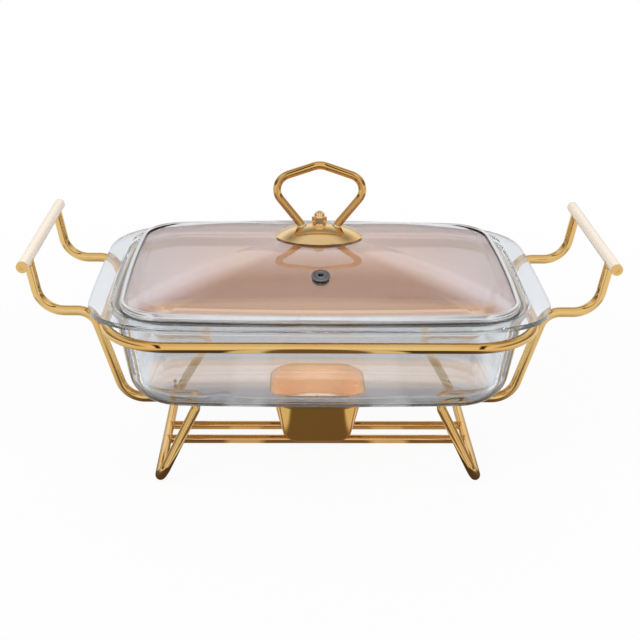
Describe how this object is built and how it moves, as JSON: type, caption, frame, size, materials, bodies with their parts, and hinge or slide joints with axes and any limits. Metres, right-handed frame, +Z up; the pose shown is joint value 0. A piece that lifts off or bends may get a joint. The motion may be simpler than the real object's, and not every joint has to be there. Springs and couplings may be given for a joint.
{
  "type": "chafing dish",
  "caption": "Rectangular glass baking dish with a domed glass lid on a gold bent-rod stand with side grips, over a candle cup.",
  "frame": {"origin": "on the table under the middle of the stand", "axes": "+X towards the right grip, +Y away from the front, +Z up"},
  "size_m": [0.453, 0.238, 0.2442],
  "materials": {
    "gold_rod": "polished gold plating on steel rod",
    "gold_grip": "pale satin gold lacquer",
    "gold_plug": "pale satin gold lacquer",
    "gold_cup": "polished gold plating on pressed steel",
    "clear_glass": "clear pressed glass",
    "tinted_glass": "rose-tinted tempered glass",
    "steel_band": "bright rolled stainless steel",
    "steel_vent": "dark bright steel",
    "gold_plate": "polished gold plating on pressed steel",
    "gold_wire": "polished gold plating on steel wire",
    "gold_nut": "polished gold plating",
    "steel_screw": "plain zinc-plated steel",
    "clear_gasket": "translucent silicone",
    "tin": "thin pressed aluminium",
    "wax": "white paraffin wax",
    "wick": "plain cotton braid"
  },
  "bodies": {
    "stand": {"left_side_frame": "gold_rod", "right_side_frame": "gold_rod", "support_ring": "gold_rod", "front_cross_rod": "gold_rod", "rear_cross_rod": "gold_rod", "left_grip": "gold_grip", "right_grip": "gold_grip", "left_front_plug": "gold_plug", "left_rear_plug": "gold_plug", "right_front_plug": "gold_plug", "right_rear_plug": "gold_plug", "candle_cup": "gold_cup"},
    "tealight": {"tealight_tin": "tin", "tealight_wax": "wax", "tealight_wick": "wick", "wick_sustainer": "tin"},
    "dish": {"glass_dish": "clear_glass"},
    "lid": {"lid_glass": "tinted_glass", "lid_rim_band": "steel_band", "vent_eyelet": "steel_vent", "vent_back_ring": "steel_vent", "knob_plate": "gold_plate", "knob_gasket": "clear_gasket", "loop_handle": "gold_wire", "nut_washer": "gold_nut", "cap_nut": "gold_nut", "lower_washer": "steel_screw", "knob_screw": "steel_screw"}
  },
  "joints": [
    {"name": "dish_lift", "type": "slide", "parent": "stand", "child": "dish", "axis": [0, 0, 1], "range_m": [0, 0.14]},
    {"name": "lid_lift", "type": "slide", "parent": "dish", "child": "lid", "axis": [0, 0, 1], "range_m": [0, 0.12]},
    {"name": "tealight_lift", "type": "slide", "parent": "stand", "child": "tealight", "axis": [0, 0, 1], "range_m": [0, 0.042]}
  ]
}
